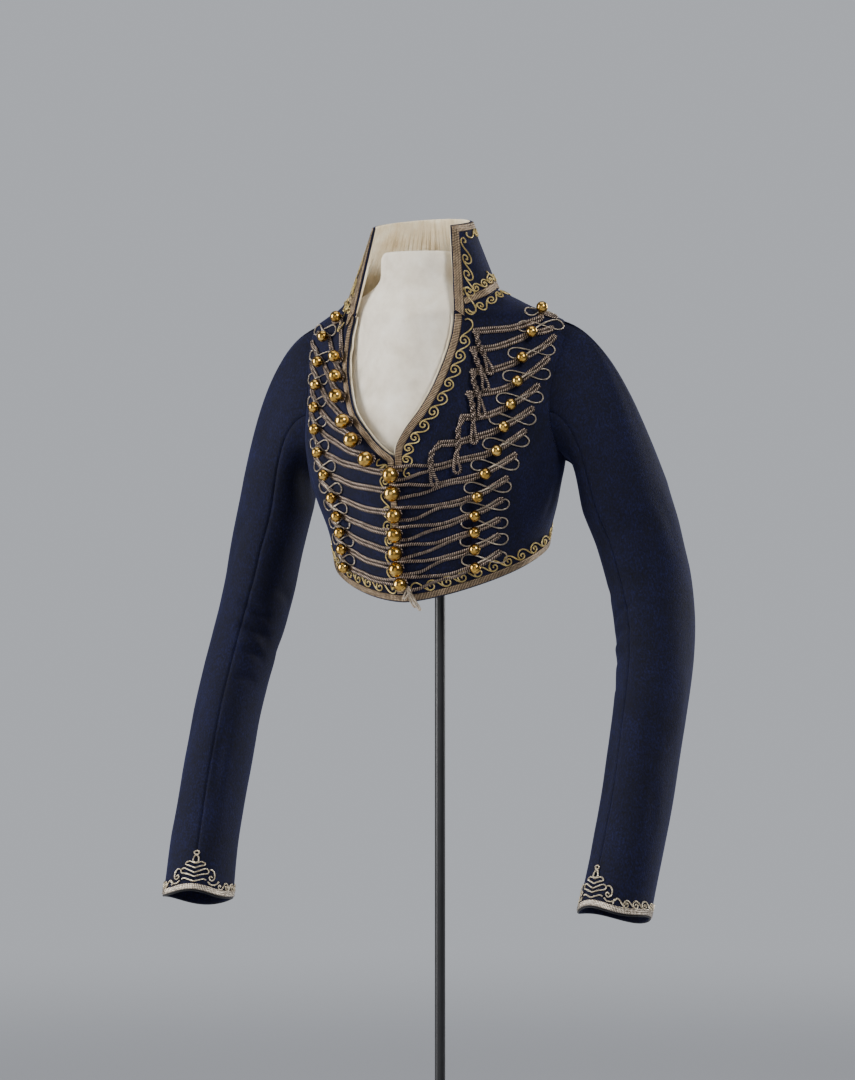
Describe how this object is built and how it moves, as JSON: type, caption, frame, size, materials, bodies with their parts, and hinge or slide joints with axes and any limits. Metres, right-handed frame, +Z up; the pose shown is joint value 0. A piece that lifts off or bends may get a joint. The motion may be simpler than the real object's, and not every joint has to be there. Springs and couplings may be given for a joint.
{
  "type": "napoleon jacket on a dress form stand",
  "caption": "Short navy hussar jacket with standing collar, open neckline, gilt ball buttons and braid frogging, on a limbless dress form with pole and round base.",
  "frame": {"origin": "centre of the base's underside", "axes": "+Z up along the pole, the jacket's front faces -Y, the wearer's left side is +X"},
  "size_m": [0.6096, 0.38, 1.4194],
  "materials": {
    "broadcloth": "matt, close napped wool",
    "lining": "matt cotton",
    "braid": "tarnished silver-gilt thread",
    "gilt": "polished, worn",
    "form": "matt jersey",
    "stand": "satin black"
  },
  "bodies": {
    "root": {"back": "broadcloth", "base": "stand", "centre_ball_01": "gilt", "centre_ball_02": "gilt", "centre_ball_03": "gilt", "centre_ball_04": "gilt", "centre_ball_05": "gilt", "centre_ball_06": "gilt", "centre_ball_07": "gilt", "centre_ball_08": "gilt", "centre_ball_09": "gilt", "centre_ball_10": "gilt", "centre_ball_11": "gilt", "centre_ball_12": "gilt", "centre_ball_13": "gilt", "collar": "broadcloth", "collar_braid": "braid", "collar_lining": "lining", "collar_seam_braid": "braid", "cuff_braid_left": "braid", "cuff_braid_right": "braid", "dress_form": "form", "edge_braid_left": "braid", "edge_braid_right": "braid", "frog_left_01": "braid", "frog_left_02": "braid", "frog_left_03": "braid", "frog_left_04": "braid", "frog_left_05": "braid", "frog_left_06": "braid", "frog_left_07": "braid", "frog_left_08": "braid", "frog_left_09": "braid", "frog_left_10": "braid", "frog_left_11": "braid", "frog_left_12": "braid", "frog_left_13": "braid", "frog_right_01": "braid", "frog_right_02": "braid", "frog_right_03": "braid", "frog_right_04": "braid", "frog_right_05": "braid", "frog_right_06": "braid", "frog_right_07": "braid", "frog_right_08": "braid", "frog_right_09": "braid", "frog_right_10": "braid", "frog_right_11": "braid", "frog_right_12": "braid", "frog_right_13": "braid", "front_left": "broadcloth", "front_lining_left": "lining", "front_lining_right": "lining", "front_right": "broadcloth", "hem_braid": "braid", "pole": "stand", "sleeve_top_left": "broadcloth", "sleeve_top_right": "broadcloth", "sleeve_under_left": "broadcloth", "sleeve_under_right": "broadcloth"}
  },
  "joints": []
}
